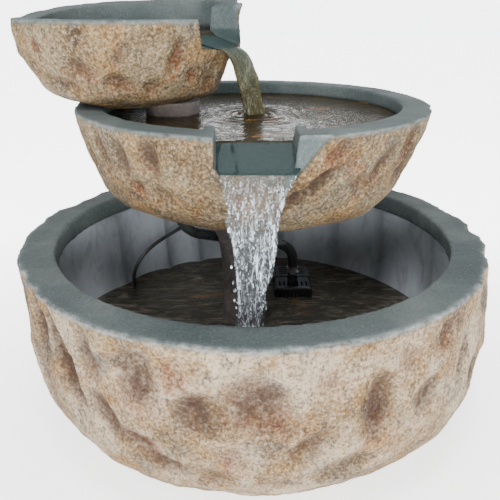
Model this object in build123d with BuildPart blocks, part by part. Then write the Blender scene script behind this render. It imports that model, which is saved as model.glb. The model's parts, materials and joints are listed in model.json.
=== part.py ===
"""Three-tier cascade fountain: rock-finished resin bowls on hidden pedestals, with a pump and its hose.

Millimetres, +Z up, origin at the centre of the basin's flat foot, front of the fountain towards -Y.
"""

import math
import os

from build123d import *

# ---- Driving dimensions ----------------------------------------------------------------------
WALL = 15  # resin wall of the basin
SCOOP_DEPTH = 7  # how deep a carved hollow goes into a rock face
FIT = 0.05  # radial running clearance

# Basin, on the origin. Sections are (radius, height) points.
BASIN_RIM_Z = 263
BASIN_FLOOR_Z = 60
BASIN_RIM_INNER = 248
BASIN_LIP_Z = 239
BASIN_RECESS = (165, 45)  # hollow under the floor: radius, height
BASIN_OUTER = [
    (190, 0),
    (222, 30),
    (250, 60),
    (275, 90),
    (288, 120),
    (293, 160),
    (292, 200),
    (290, BASIN_RIM_Z),
]
BASIN_INNER = [(276, 230), (277, 200), (278, 160), (273, 120), (258, 88), (222, BASIN_FLOOR_Z)]

# Middle bowl, set back over the basin.
MIDDLE_CENTRE = (0, 50)
MIDDLE_FOOT_Z = 288
MIDDLE_FLOOR_Z = 304
MIDDLE_RIM_Z = 421
MIDDLE_RIM_INNER = 188
MIDDLE_LIP_Z = 404
MIDDLE_OUTER = [(100, MIDDLE_FOOT_Z), (160, 298), (196, 320), (214, 356), (220, 390), (222, MIDDLE_RIM_Z)]
MIDDLE_INNER = [(203, 396), (200, 360), (184, 332), (164, 313), (142, MIDDLE_FLOOR_Z)]

# Top bowl, on the middle bowl's rim and the upper pedestal. Its rim rises towards the back.
TOP_CENTRE = (-150, 65)
TOP_FOOT_Z = MIDDLE_RIM_Z
TOP_FLOOR_Z = 434
TOP_RIM_Z = 521
TOP_BACK_RISE = 20
TOP_RIM_INNER = 114
TOP_LIP_Z = 506
TOP_OUTER = [
    (67, TOP_FOOT_Z + 1),
    (100, 433),
    (117, 453),
    (131, 478),
    (138, 500),
    (141, TOP_RIM_Z),
    (142, 545),
]
TOP_INNER = [(127, 498), (119, 476), (104, 455), (86, 441), (66, TOP_FLOOR_Z)]

# Spouts: compass angle, half width, distance of the chute's inner end and lip from the bowl's centre,
# and the chute's height at both.
MIDDLE_SPOUT = {"angle": -89, "half": 41, "inner": 160, "lip": 226, "inner_z": 401, "lip_z": 380}
TOP_SPOUT = {"angle": -21, "half": 45, "inner": 88, "lip": 143, "inner_z": 501, "lip_z": 484}
CHUTE_THICKNESS = 10
CHEEK = 12

# Pedestals and the line that the hose rises on, inside both upper bowls' feet.
PEDESTAL_CENTRE = (-10, 50)
RISER = (-105, 62)
PEDESTAL_WALL = 8
PLATE_R = 73

# Pump, lying along Y on the basin floor, strainer to the front.
PUMP_X = 64
PUMP_WIDTH = 60
PUMP_Z = (68, 126)
PUMP_AXIS_Z = 96
STRAINER_Y = (104, 132)
VOLUTE_Y = (132, 148)
MOTOR_Y = (148, 190)
OUTLET_Y = 140
OUTLET_TOP_Z = 152
SHAFT_R = 1.5
MAGNET_R = 10.8
CHAMBER_R = 20

# Hose from the pump's outlet to the top bowl's inlet.
HOSE_R = 8
HOSE_BORE_R = 6.5
HOSE_START_Z = 134
HOSE_TOP_Z = 408
SPIGOT_R = HOSE_BORE_R - FIT

# Cable, its coil behind the basin, and its plug.
CORD_R = 3
GROMMET_ANGLE = 99.7
GROMMET_Z = 225
GROMMET_HOLE_R = 7
COIL_CENTRE = (20, 278)
COIL_R = (19, 50)
COIL_HEIGHT = 26
PLUG_SIZE = (38, 34, 16)

os.makedirs("parts", exist_ok=True)


def save(piece, name):
    """Names a finished piece and writes its STEP file."""
    piece.part.label = name
    export_step(piece.part, f"parts/{name}.step")


def radius_at(section, z):
    """A section's radius at height z, on straight lines between its points."""
    for (r0, z0), (r1, z1) in zip(section, section[1:]):
        if min(z0, z1) <= z <= max(z0, z1):
            return r0 + (r1 - r0) * (z - z0) / (z1 - z0)
    raise ValueError(f"the section has no height {z}")


def polar(radius, angle, z, centre=(0, 0)):
    """The point at that compass angle and distance from centre."""
    turn = math.radians(angle)
    return (centre[0] + radius * math.cos(turn), centre[1] + radius * math.sin(turn), z)


def scoop_places(section, rows, count, radius, centre=(0, 0), skip=None):
    """Centres of the balls that carve a ring of shallow hollows at each height in rows."""
    places = []
    for row, z in enumerate(rows):
        slope = (radius_at(section, z + 4) - radius_at(section, z - 4)) / 8
        lean = math.hypot(1, slope)
        reach = radius - SCOOP_DEPTH
        for k in range(count):
            angle = (k + 0.5 * (row % 2)) * 360 / count
            if skip and skip(angle, z):
                continue
            out = radius_at(section, z) + reach / lean
            places.append(polar(out, angle, z - reach * slope / lean, centre))
    return places


def near(angle, target, within):
    """True if two compass angles are within that many degrees of each other."""
    return abs((angle - target + 180) % 360 - 180) < within


def bowl_section(outer, inner, rim_inner, lip_z, floor_z, foot_line):
    """Half section of a bowl, in the XZ plane from foot to rim and back down inside to the axis."""
    top_z = outer[-1][1]
    with BuildLine() as outline:
        Spline(*outer)
        Polyline(outer[-1], (rim_inner, top_z), (rim_inner, lip_z), inner[0])
        Spline(*inner)
        Polyline(inner[-1], (0, floor_z), *foot_line, outer[0])
    make_face(outline.edges())


def solid_section(outer, foot_z):
    """Half section of the same bowl with no hollow, which bounds what is built at its rim."""
    top_z = outer[-1][1]
    with BuildLine() as outline:
        Spline(*outer)
        Polyline(outer[-1], (0, top_z), (0, foot_z), outer[0])
    make_face(outline.edges())


def spout_block(outer, foot_z, centre, spout, rim_z):
    """Solid cheeks and chute under a spout, trimmed to the bowl's outer face."""
    depth = spout["lip"] - spout["inner"]
    bottom = spout["lip_z"] - CHUTE_THICKNESS
    at = Plane(origin=(*centre, 0), z_dir=(0, 0, 1)).rotated((0, 0, spout["angle"]))
    with BuildPart(mode=Mode.PRIVATE) as block:
        with BuildSketch(Plane((*centre, 0), x_dir=(1, 0, 0), z_dir=(0, -1, 0))):
            solid_section(outer, foot_z)
        revolve(axis=Axis((*centre, 0), (0, 0, 1)))
        with BuildSketch(at.offset(bottom)):
            with Locations((spout["inner"] + depth / 2, 0)):
                Rectangle(depth, 2 * (spout["half"] + CHEEK))
        extrude(amount=rim_z - bottom, mode=Mode.INTERSECT)
    return block.part


def cut_spout(centre, spout, rim_z):
    """Takes the open channel out of the bowl being built, down to its sloping floor."""
    slope = (spout["inner_z"] - spout["lip_z"]) / (spout["lip"] - spout["inner"])
    start, end = spout["inner"] - 30, spout["lip"] + 40
    top = rim_z + 60
    turn = math.radians(spout["angle"])
    along = (math.cos(turn), math.sin(turn), 0)
    side = (math.sin(turn), -math.cos(turn), 0)
    channel = [
        (start, spout["inner_z"] + slope * 30),
        (end, spout["lip_z"] - slope * 40),
        (end, top),
        (start, top),
    ]
    with BuildSketch(Plane((*centre, 0), x_dir=along, z_dir=side)) as opening:
        with BuildLine():
            Polyline(*channel, close=True)
        make_face()
    extrude(opening.sketch, amount=spout["half"], both=True, mode=Mode.SUBTRACT)


# ---- Stone work ------------------------------------------------------------------------------
def make_basin():
    recess_r, recess_z = BASIN_RECESS
    foot = [(0, recess_z), (recess_r - 20, recess_z), (recess_r, 0)]
    with BuildPart() as basin:
        with BuildSketch(Plane.XZ):
            bowl_section(BASIN_OUTER, BASIN_INNER, BASIN_RIM_INNER, BASIN_LIP_Z, BASIN_FLOOR_Z, foot)
        revolve(axis=Axis.Z)
        keep_clear = lambda angle, z: z > 180 and near(angle, GROMMET_ANGLE, 9)
        places = scoop_places(BASIN_OUTER, (78, 140, 196, 240), 15, 80, skip=keep_clear)
        with Locations(*places):
            Sphere(80, mode=Mode.SUBTRACT)
        wall = radius_at(BASIN_OUTER, GROMMET_Z)
        hole = Plane(polar(wall - 2 * WALL, GROMMET_ANGLE, GROMMET_Z), z_dir=polar(1, GROMMET_ANGLE, 0))
        with BuildSketch(hole):
            Circle(GROMMET_HOLE_R)
        extrude(amount=3 * WALL, mode=Mode.SUBTRACT)
    save(basin, "basin")


def make_lower_pedestal():
    outer = [(34, 120), (33, 165), (35, 210), (40, 237), (54, 262), (PLATE_R, 277)]
    with BuildPart() as lower_pedestal:
        with BuildSketch(Plane((*PEDESTAL_CENTRE, 0), x_dir=(1, 0, 0), z_dir=(0, -1, 0))):
            with BuildLine():
                Spline(*outer)
                Polyline(outer[-1], (PLATE_R, MIDDLE_FOOT_Z), (0, MIDDLE_FOOT_Z), (0, 272), (26, 262))
                Polyline((26, 262), (26, BASIN_FLOOR_Z), (50, BASIN_FLOOR_Z), (50, 70), (40, 84), outer[0])
            make_face()
        revolve(axis=Axis((*PEDESTAL_CENTRE, 0), (0, 0, 1)))
    save(lower_pedestal, "lower_pedestal")


def make_middle_bowl():
    block = spout_block(MIDDLE_OUTER, MIDDLE_FOOT_Z, MIDDLE_CENTRE, MIDDLE_SPOUT, MIDDLE_RIM_Z)
    with BuildPart() as middle_bowl:
        with BuildSketch(Plane((*MIDDLE_CENTRE, 0), x_dir=(1, 0, 0), z_dir=(0, -1, 0))):
            foot = [(0, MIDDLE_FOOT_Z)]
            bowl_section(MIDDLE_OUTER, MIDDLE_INNER, MIDDLE_RIM_INNER, MIDDLE_LIP_Z, MIDDLE_FLOOR_Z, foot)
        revolve(axis=Axis((*MIDDLE_CENTRE, 0), (0, 0, 1)))
        add(block)
        at_spout = lambda angle, z: near(angle, MIDDLE_SPOUT["angle"], 16)
        places = scoop_places(MIDDLE_OUTER, (330, 364, 398), 13, 70, MIDDLE_CENTRE, at_spout)
        with Locations(*places):
            Sphere(70, mode=Mode.SUBTRACT)
        cut_spout(MIDDLE_CENTRE, MIDDLE_SPOUT, MIDDLE_RIM_Z)
        with BuildSketch(Plane.XY.offset(MIDDLE_FOOT_Z)):
            with Locations(RISER):
                Circle(SLEEVE_R + FIT)
        extrude(amount=MIDDLE_FLOOR_Z - MIDDLE_FOOT_Z, mode=Mode.SUBTRACT)
    save(middle_bowl, "middle_bowl")


def make_upper_pedestal():
    outer = [(36, MIDDLE_FLOOR_Z), (34, 325), (33, 362), (34, 400), (36, TOP_FOOT_Z - 3)]
    inner = 33 - PEDESTAL_WALL
    with BuildPart() as upper_pedestal:
        with BuildSketch(Plane((*RISER, 0), x_dir=(1, 0, 0), z_dir=(0, -1, 0))):
            with BuildLine():
                Spline(*outer)
                Polyline(outer[-1], (36, TOP_FOOT_Z), (inner, TOP_FOOT_Z), (inner, MIDDLE_FLOOR_Z), outer[0])
            make_face()
        revolve(axis=Axis((*RISER, 0), (0, 0, 1)))
    save(upper_pedestal, "upper_pedestal")


def make_top_bowl():
    top_z = TOP_OUTER[-1][1]
    block = spout_block(TOP_OUTER, TOP_FOOT_Z, TOP_CENTRE, TOP_SPOUT, top_z)
    centre_y, reach = TOP_CENTRE[1], 170
    rise = TOP_BACK_RISE * reach / TOP_OUTER[-2][0]
    above = [
        (centre_y - reach, TOP_RIM_Z),
        (centre_y, TOP_RIM_Z),
        (centre_y + reach, TOP_RIM_Z + rise),
        (centre_y + reach, top_z + rise),
        (centre_y - reach, top_z + rise),
    ]
    with BuildPart() as top_bowl:
        with BuildSketch(Plane((*TOP_CENTRE, 0), x_dir=(1, 0, 0), z_dir=(0, -1, 0))):
            foot = [(0, TOP_FOOT_Z), (TOP_OUTER[0][0], TOP_FOOT_Z)]
            bowl_section(TOP_OUTER, TOP_INNER, TOP_RIM_INNER, TOP_LIP_Z, TOP_FLOOR_Z, foot)
        revolve(axis=Axis((*TOP_CENTRE, 0), (0, 0, 1)))
        add(block)
        with BuildSketch(Plane.YZ.offset(TOP_CENTRE[0])):
            with BuildLine():
                Polyline(*above, close=True)
            make_face()
        extrude(amount=reach, both=True, mode=Mode.SUBTRACT)
        at_spout = lambda angle, z: near(angle, TOP_SPOUT["angle"], 24)
        places = scoop_places(TOP_OUTER, (450, 474, 500), 11, 50, TOP_CENTRE, at_spout)
        with Locations(*places):
            Sphere(50, mode=Mode.SUBTRACT)
        cut_spout(TOP_CENTRE, TOP_SPOUT, TOP_RIM_Z)
        with BuildSketch(Plane.XY.offset(TOP_FOOT_Z)):
            with Locations(RISER):
                Circle(INLET_R + FIT)
        extrude(amount=TOP_FLOOR_Z - TOP_FOOT_Z, mode=Mode.SUBTRACT)
    save(top_bowl, "top_bowl")


# ---- Fittings on the riser line ----------------------------------------------------------------
SEAL = 1.5
FLANGE = 3
SLEEVE_R = 12  # stand-pipe through the middle bowl's floor, which the hose passes up
SLEEVE_BORE_R = 9.5
SLEEVE_Z = (278, 405)
SLEEVE_FLANGE_R = 19
INLET_R = 10  # threaded barrel through the top bowl's floor
INLET_BORE_R = 4.5
INLET_FLANGE_R = 15
INLET_BARREL_Z = 410
INLET_SPIGOT_Z = 388
INLET_NOZZLE_Z = 456
NUT_ACROSS = 30


def tube(name, z0, z1, radius, bore, centre=RISER):
    """A plain ring or pipe on the riser line."""
    with BuildPart() as piece:
        with BuildSketch(Plane.XY.offset(z0)):
            with Locations(centre):
                Circle(radius)
                Circle(bore, mode=Mode.SUBTRACT)
        extrude(amount=z1 - z0)
    save(piece, name)


def hex_nut(name, z0, z1, bore, across):
    """A hexagon nut on the riser line, with a chamfered lower edge."""
    with BuildPart() as nut:
        with BuildSketch(Plane.XY.offset(z0)):
            with Locations(RISER):
                RegularPolygon(across / 2, 6, major_radius=False)
                Circle(bore, mode=Mode.SUBTRACT)
        extrude(amount=z1 - z0)
        chamfer(nut.faces().sort_by(Axis.Z)[0].outer_wire().edges(), 1)
    save(nut, name)


def make_floor_sleeve():
    z0, z1 = SLEEVE_Z
    flange_z = MIDDLE_FLOOR_Z + SEAL
    with BuildPart() as floor_sleeve:
        with BuildSketch(Plane.XY.offset(z0)):
            with Locations(RISER):
                Circle(SLEEVE_R)
        extrude(amount=z1 - z0)
        with BuildSketch(Plane.XY.offset(flange_z)):
            with Locations(RISER):
                Circle(SLEEVE_FLANGE_R)
        extrude(amount=FLANGE)
        with BuildSketch(Plane.XY.offset(z0)):
            with Locations(RISER):
                Circle(SLEEVE_BORE_R)
        extrude(amount=z1 - z0, mode=Mode.SUBTRACT)
    save(floor_sleeve, "floor_sleeve")
    tube("sleeve_seal", MIDDLE_FLOOR_Z, flange_z, SLEEVE_FLANGE_R, SLEEVE_R + FIT)
    hex_nut("sleeve_nut", MIDDLE_FOOT_Z - 8, MIDDLE_FOOT_Z, SLEEVE_R + FIT, NUT_ACROSS + 4)


def make_inlet_fitting():
    flange_z = TOP_FLOOR_Z + SEAL
    body = [
        (INLET_BORE_R, INLET_SPIGOT_Z),
        (SPIGOT_R - 1, INLET_SPIGOT_Z),
        (SPIGOT_R, INLET_SPIGOT_Z + 3),
        (SPIGOT_R, INLET_BARREL_Z),
        (INLET_R, INLET_BARREL_Z),
        (INLET_R, flange_z),
        (INLET_FLANGE_R, flange_z),
        (INLET_FLANGE_R, flange_z + FLANGE),
        (8, flange_z + FLANGE),
        (7, INLET_NOZZLE_Z),
        (INLET_BORE_R, INLET_NOZZLE_Z),
    ]
    with BuildPart() as inlet_fitting:
        with BuildSketch(Plane((*RISER, 0), x_dir=(1, 0, 0), z_dir=(0, -1, 0))):
            with BuildLine():
                Polyline(*body, close=True)
            make_face()
        revolve(axis=Axis((*RISER, 0), (0, 0, 1)))
    save(inlet_fitting, "inlet_fitting")
    tube("inlet_seal", TOP_FLOOR_Z, flange_z, INLET_FLANGE_R, INLET_R + FIT)
    hex_nut("inlet_nut", TOP_FOOT_Z - 8, TOP_FOOT_Z, INLET_R + FIT, NUT_ACROSS)


# ---- Pump ------------------------------------------------------------------------------------
PUMP_BLOCK_Z = (PUMP_Z[0] + PUMP_Z[1]) / 2
PUMP_HEIGHT = PUMP_Z[1] - PUMP_Z[0]
BUSH_R = 3.5
BUSH_LENGTH = 4


def across_y(y):
    """The plane at that depth, facing the back, with X to the left and Z up."""
    return Plane((PUMP_X, y, 0), x_dir=(-1, 0, 0), z_dir=(0, 1, 0))


def disc_y(y0, y1, radius, mode=Mode.ADD, z=PUMP_AXIS_Z, shift=0):
    """A round along Y in the part being built."""
    with BuildSketch(across_y(y0)) as face:
        with Locations((shift, z)):
            Circle(radius)
    extrude(face.sketch, amount=y1 - y0, mode=mode)


def make_motor_block():
    y0, y1 = MOTOR_Y
    with BuildPart() as pump_motor_block:
        with BuildSketch(across_y(y0)):
            with Locations((0, PUMP_BLOCK_Z)):
                RectangleRounded(PUMP_WIDTH, PUMP_HEIGHT, 7)
        extrude(amount=y1 - y0)
        fillet(pump_motor_block.faces().sort_by(Axis.Y)[-1].edges(), 5)
        disc_y(y0, 180, MAGNET_R + 0.5, Mode.SUBTRACT)
        disc_y(180, 180 + BUSH_LENGTH, BUSH_R, Mode.SUBTRACT)
        with BuildSketch(Plane.XY.offset(PUMP_Z[1] - 1.5)):
            with Locations((PUMP_X, (y0 + y1) / 2)):
                with GridLocations(0, 7, 1, 4):
                    SlotOverall(40, 3)
        extrude(amount=3, mode=Mode.SUBTRACT)
    save(pump_motor_block, "pump_motor_block")


def make_volute_cover():
    y0, y1 = VOLUTE_Y
    wall = 5
    with BuildPart() as pump_volute_cover:
        with BuildSketch(across_y(y0)):
            with Locations((0, PUMP_BLOCK_Z)):
                RectangleRounded(PUMP_WIDTH - 2, PUMP_HEIGHT - 2, 6)
        extrude(amount=y1 - y0)
        disc_y(y0 + wall, y1, CHAMBER_R, Mode.SUBTRACT)
        disc_y(y0 + wall - 3, y0 + wall, BUSH_R, Mode.SUBTRACT)
        with BuildSketch(across_y(y0)):
            with Locations((0, PUMP_AXIS_Z)):
                with PolarLocations(8.5, 6):
                    Circle(2.8)
        extrude(amount=wall, mode=Mode.SUBTRACT)
        outlet = (PUMP_X, OUTLET_Y)
        for z0, z1, radius in ((PUMP_Z[1] - 2, 131, 7.9), (131, OUTLET_TOP_Z, SPIGOT_R)):
            with BuildSketch(Plane.XY.offset(z0)):
                with Locations(outlet):
                    Circle(radius)
            extrude(amount=z1 - z0)
        with BuildSketch(Plane.XY.offset(PUMP_AXIS_Z)):
            with Locations(outlet):
                Circle(4.5)
        extrude(amount=OUTLET_TOP_Z - PUMP_AXIS_Z, mode=Mode.SUBTRACT)
    save(pump_volute_cover, "pump_volute_cover")


def make_strainer():
    y0, y1 = STRAINER_Y
    wall = 2.5
    with BuildPart() as pump_strainer:
        with BuildSketch(across_y(y0)):
            with Locations((0, PUMP_BLOCK_Z)):
                RectangleRounded(PUMP_WIDTH, PUMP_HEIGHT, 7)
        extrude(amount=y1 - y0)
        fillet(pump_strainer.faces().sort_by(Axis.Y)[0].edges(), 3)
        with BuildSketch(across_y(y0 + wall)):
            with Locations((0, PUMP_BLOCK_Z)):
                RectangleRounded(PUMP_WIDTH - 2 * wall, PUMP_HEIGHT - 2 * wall, 4.5)
        extrude(amount=y1 - y0 - wall, mode=Mode.SUBTRACT)
        with BuildSketch(across_y(y0)):
            with Locations((9, PUMP_BLOCK_Z)):
                with GridLocations(6, 0, 6, 1):
                    SlotOverall(38, 2.6, rotation=90)
        extrude(amount=wall, mode=Mode.SUBTRACT)
        with BuildSketch(Plane.XY.offset(PUMP_Z[0])):
            with Locations((PUMP_X, (y0 + y1) / 2 + 2)):
                with GridLocations(7, 0, 7, 1):
                    SlotOverall(16, 2.6, rotation=90)
        extrude(amount=PUMP_HEIGHT, mode=Mode.SUBTRACT)
        disc_y(y0, y0 + wall, DIAL_SHAFT_R + FIT, Mode.SUBTRACT, DIAL_Z, DIAL_SHIFT)
    save(pump_strainer, "pump_strainer")


DIAL_SHAFT_R = 3
DIAL_SHIFT = -18.5
DIAL_Z = 86


def make_flow_dial():
    front = STRAINER_Y[0]
    with BuildPart() as flow_dial:
        disc_y(front - 4.2, front - 0.2, 8, z=DIAL_Z, shift=DIAL_SHIFT)
        disc_y(front - 0.2, front + 6, DIAL_SHAFT_R, z=DIAL_Z, shift=DIAL_SHIFT)
        with BuildSketch(across_y(front - 8)):
            with Locations((DIAL_SHIFT, DIAL_Z)):
                SlotOverall(15, 3.2, rotation=30)
        extrude(amount=4)
    save(flow_dial, "flow_dial")


def make_rotor():
    y0 = VOLUTE_Y[0] + 6.5
    with BuildPart() as impeller:
        disc_y(y0, y0 + 8.5, 5)
        disc_y(y0 + 7, y0 + 8.5, 17)
        with BuildSketch(across_y(y0)):
            with Locations((0, PUMP_AXIS_Z)):
                with PolarLocations(10.5, 6):
                    Rectangle(13, 1.6)
        extrude(amount=8)
        disc_y(y0, y0 + 8.5, SHAFT_R + FIT, Mode.SUBTRACT)
    save(impeller, "impeller")
    magnet_y = y0 + 8.5
    with BuildPart() as rotor_magnet:
        disc_y(magnet_y, 178, MAGNET_R)
        disc_y(magnet_y, 178, SHAFT_R + FIT, Mode.SUBTRACT)
    save(rotor_magnet, "rotor_magnet")


def make_shaft():
    front, back = VOLUTE_Y[0] + 2, 180
    with BuildPart() as rotor_shaft:
        disc_y(front, back + BUSH_LENGTH, SHAFT_R)
    save(rotor_shaft, "rotor_shaft")
    for name, y0, length in (("shaft_bush_front", front, 3), ("shaft_bush_rear", back, BUSH_LENGTH)):
        with BuildPart() as bush:
            disc_y(y0, y0 + length, BUSH_R)
            disc_y(y0, y0 + length, SHAFT_R, Mode.SUBTRACT)
        save(bush, name)


def make_suction_cups():
    hollow = [(0, 64.5), (3, 63.6), (8, BASIN_FLOOR_Z)]
    outside = [(9, BASIN_FLOOR_Z), (8.6, 61.4), (4, 65.4), (3.4, PUMP_Z[0]), (0, PUMP_Z[0])]
    with BuildPart() as suction_cups:
        with Locations(*[(PUMP_X + x, y, 0) for x in (-20, 20) for y in (141, 182)]):
            with BuildPart(mode=Mode.PRIVATE) as one:
                with BuildSketch(Plane.XZ):
                    with BuildLine():
                        Polyline(*hollow, *outside, close=True)
                    make_face()
                revolve(axis=Axis.Z)
            add(one.part)
    save(suction_cups, "suction_cups")


GLAND_Y = 172
GLAND_Z = 84
GLAND_LENGTH = 18


def make_pump_gland():
    face_x = PUMP_X - PUMP_WIDTH / 2
    with BuildPart() as pump_gland:
        with BuildSketch(Plane((face_x, GLAND_Y, GLAND_Z), z_dir=(-1, 0, 0))):
            Circle(6.5)
        extrude(amount=3)
        with BuildSketch(Plane((face_x - 3, GLAND_Y, GLAND_Z), z_dir=(-1, 0, 0))) as root:
            Circle(5.2)
        with BuildSketch(Plane((face_x - GLAND_LENGTH, GLAND_Y, GLAND_Z), z_dir=(-1, 0, 0))) as tip:
            Circle(CORD_R + 0.8)
        loft(sections=[root.sketch, tip.sketch])
    save(pump_gland, "pump_gland")


# ---- Hose ------------------------------------------------------------------------------------
def make_hose():
    route = [
        (PUMP_X, OUTLET_Y, HOSE_START_Z),
        (PUMP_X, OUTLET_Y, 182),
        (*RISER, 238),
        (*RISER, HOSE_TOP_Z),
    ]
    with BuildPart() as riser_hose:
        with BuildLine() as path:
            FilletPolyline(*route, radius=[33, 48])
        with BuildSketch(Plane(route[0], z_dir=(0, 0, 1))):
            Circle(HOSE_R)
            Circle(HOSE_BORE_R, mode=Mode.SUBTRACT)
        sweep(path=path.wires()[0])
    save(riser_hose, "riser_hose")


def make_hose_clamp():
    z0, z1 = 138, 147
    with BuildPart() as hose_clamp:
        with BuildSketch(Plane.XY.offset(z0)):
            with Locations((PUMP_X, OUTLET_Y)):
                Circle(HOSE_R + 1.2)
                with Locations((0, -HOSE_R - 3)):
                    Rectangle(9, 7)
                Circle(HOSE_R + FIT, mode=Mode.SUBTRACT)
        extrude(amount=z1 - z0)
        with BuildSketch(Plane((PUMP_X + 4.5, OUTLET_Y - HOSE_R - 3.6, (z0 + z1) / 2), z_dir=(1, 0, 0))):
            Circle(3)
        extrude(amount=4)
    save(hose_clamp, "hose_clamp")


# ---- Cable -----------------------------------------------------------------------------------
GROMMET_OUT = polar(1, GROMMET_ANGLE, 0)
GROMMET_INNER_R = radius_at(BASIN_INNER, GROMMET_Z)
GROMMET_OUTER_R = radius_at(BASIN_OUTER, GROMMET_Z)
GROMMET_MIDDLE_R = (GROMMET_INNER_R + GROMMET_OUTER_R) / 2
GROMMET_FLANGE_R = 10.5
# From the gland, along the floor, up the side and across to the grommet.
LEAD_ROUTE = [
    (PUMP_X - PUMP_WIDTH / 2 - GLAND_LENGTH, GLAND_Y, GLAND_Z),
    (-14, 172, 82),
    (-52, 170, 68),
    (-96, 168, 64.5),
    (-140, 160, 64),
    (-176, 148, 72),
    (-193, 139, 104),
    (-192, 141, 142),
    (-168, 160, 172),
    (-126, 191, 190),
    (-80, 223, 206),
    (-48, 244, 220),
    polar(GROMMET_INNER_R - 9, GROMMET_ANGLE, GROMMET_Z),
    polar(GROMMET_MIDDLE_R, GROMMET_ANGLE, GROMMET_Z),
]
# From the grommet, down behind the basin and along the ground to the coil.
DROP_ROUTE = [
    polar(GROMMET_MIDDLE_R, GROMMET_ANGLE, GROMMET_Z),
    polar(GROMMET_OUTER_R + 22, GROMMET_ANGLE, GROMMET_Z + 1),
    (-54, 335, 212),
    (-58, 345, 172),
    (-62, 348, 128),
    (-66, 346, 84),
    (-66, 342, 40),
    (-56, 335, 8),
    (-24, 328, 3.2),
    (COIL_CENTRE[0], COIL_CENTRE[1] + COIL_R[1] - CORD_R, 3.2),
]
TAIL_ROUTE = [
    (COIL_CENTRE[0], COIL_CENTRE[1] + COIL_R[1] - CORD_R, COIL_HEIGHT - 4.4),
    (46, 325, 20),
    (74, 319, 10.4),
    (100, 312, PLUG_SIZE[2] / 2),
]
PLUG_ANGLE = -15


def arc_radii(route):
    """The largest arc at each inner point of a route that its two runs allow."""
    points = [Vector(*p) for p in route]
    radii = []
    for a, b, c in zip(points, points[1:], points[2:]):
        turn = math.radians((b - a).get_angle(c - b))
        radii.append(0.45 * min((b - a).length, (c - b).length) / math.tan(turn / 2))
    return radii


def make_cord(name, route):
    """A plain round tube along the route, and a note of how sharply it turns."""
    radii = arc_radii(route)
    with BuildPart() as cord:
        with BuildLine() as path:
            FilletPolyline(*route, radius=radii)
        line = path.wires()[0]
        with BuildSketch(Plane(route[0], z_dir=Vector(*route[1]) - Vector(*route[0]))):
            Circle(CORD_R)
        sweep(path=line)
    expected = math.pi * CORD_R**2 * line.length
    share = cord.part.volume / expected
    print(name, "length", round(line.length), "volume share", round(share, 4))
    print(name, "bend radii", [round(radius) for radius in radii])
    save(cord, name)


def make_grommet():
    half = (GROMMET_OUTER_R - GROMMET_INNER_R) / 2
    at = Plane(polar(GROMMET_MIDDLE_R, GROMMET_ANGLE, GROMMET_Z), z_dir=GROMMET_OUT)
    with BuildPart() as cable_grommet:
        for radius, z0, z1 in (
            (GROMMET_HOLE_R - FIT, -half - 3, half + 3),
            (GROMMET_FLANGE_R, -half - 3.5, -half - 0.5),
            (GROMMET_FLANGE_R, half + 0.5, half + 3.5),
        ):
            with BuildSketch(at.offset(z0)):
                Circle(radius)
            extrude(amount=z1 - z0)
        with BuildSketch(at.offset(-half - 4)):
            Circle(CORD_R)
        extrude(amount=2 * half + 8, mode=Mode.SUBTRACT)
    save(cable_grommet, "cable_grommet")


def make_coil():
    inner, outer = COIL_R
    with BuildPart() as cord_coil:
        with BuildSketch(Plane((*COIL_CENTRE, 0), x_dir=(1, 0, 0), z_dir=(0, -1, 0))):
            with Locations(((inner + outer) / 2, COIL_HEIGHT / 2)):
                RectangleRounded(outer - inner, COIL_HEIGHT, CORD_R)
        revolve(axis=Axis((*COIL_CENTRE, 0), (0, 0, 1)))
    save(cord_coil, "cord_coil")
    band, width = 1.6, 14
    with BuildPart() as coil_tie:
        with BuildSketch(Plane((*COIL_CENTRE, 0), x_dir=(-1, 0, 0), z_dir=(0, 1, 0))):
            with Locations(((inner + outer) / 2, COIL_HEIGHT / 2)):
                RectangleRounded(outer - inner + 2 * band, COIL_HEIGHT + 2 * band, CORD_R + 2)
                RectangleRounded(outer - inner + 0.4, COIL_HEIGHT + 0.4, CORD_R, mode=Mode.SUBTRACT)
        extrude(amount=width / 2, both=True)
    save(coil_tie, "coil_tie")


def make_plug():
    length, width, height = PLUG_SIZE
    start = TAIL_ROUTE[-1]
    turn = math.radians(PLUG_ANGLE)
    along = (math.cos(turn), math.sin(turn), 0)
    relief = 16
    at = Plane(start, x_dir=(-math.sin(turn), math.cos(turn), 0), z_dir=along)
    with BuildPart() as plug_strain_relief:
        with BuildSketch(at) as tip:
            Circle(CORD_R + 0.8)
        with BuildSketch(at.offset(relief)) as root:
            Circle(CORD_R + 2.6)
        loft(sections=[tip.sketch, root.sketch])
    save(plug_strain_relief, "plug_strain_relief")
    with BuildPart() as plug_body:
        for step, share in ((0, 0.55), (12, 1), (length, 1)):
            with BuildSketch(at.offset(relief + step)):
                RectangleRounded(width * share, height if step else 12, 5)
        loft()
    save(plug_body, "plug_body")
    with BuildPart() as plug_pins:
        with BuildSketch(at.offset(relief + length)):
            with GridLocations(19, 0, 2, 1):
                Circle(2.4)
        extrude(amount=19)
        fillet(plug_pins.faces().filter_by(GeomType.PLANE).sort_by_distance(
            at.offset(relief + length + 19).origin)[:2].edges(), 1.4)
    save(plug_pins, "plug_pins")


make_basin()
make_lower_pedestal()
make_middle_bowl()
make_upper_pedestal()
make_top_bowl()
make_floor_sleeve()
make_inlet_fitting()
make_motor_block()
make_volute_cover()
make_strainer()
make_flow_dial()
make_rotor()
make_shaft()
make_suction_cups()
make_pump_gland()
make_hose()
make_hose_clamp()
make_cord("pump_lead", LEAD_ROUTE)
make_cord("supply_cord", DROP_ROUTE)
make_cord("cord_tail", TAIL_ROUTE)
make_grommet()
make_coil()
make_plug()
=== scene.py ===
"""Tiered water fountain: the visual model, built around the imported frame. Metres, +Z up, front to -Y."""

import json
import math
import random

import bmesh
import bpy
import numpy as np
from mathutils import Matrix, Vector, noise


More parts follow.
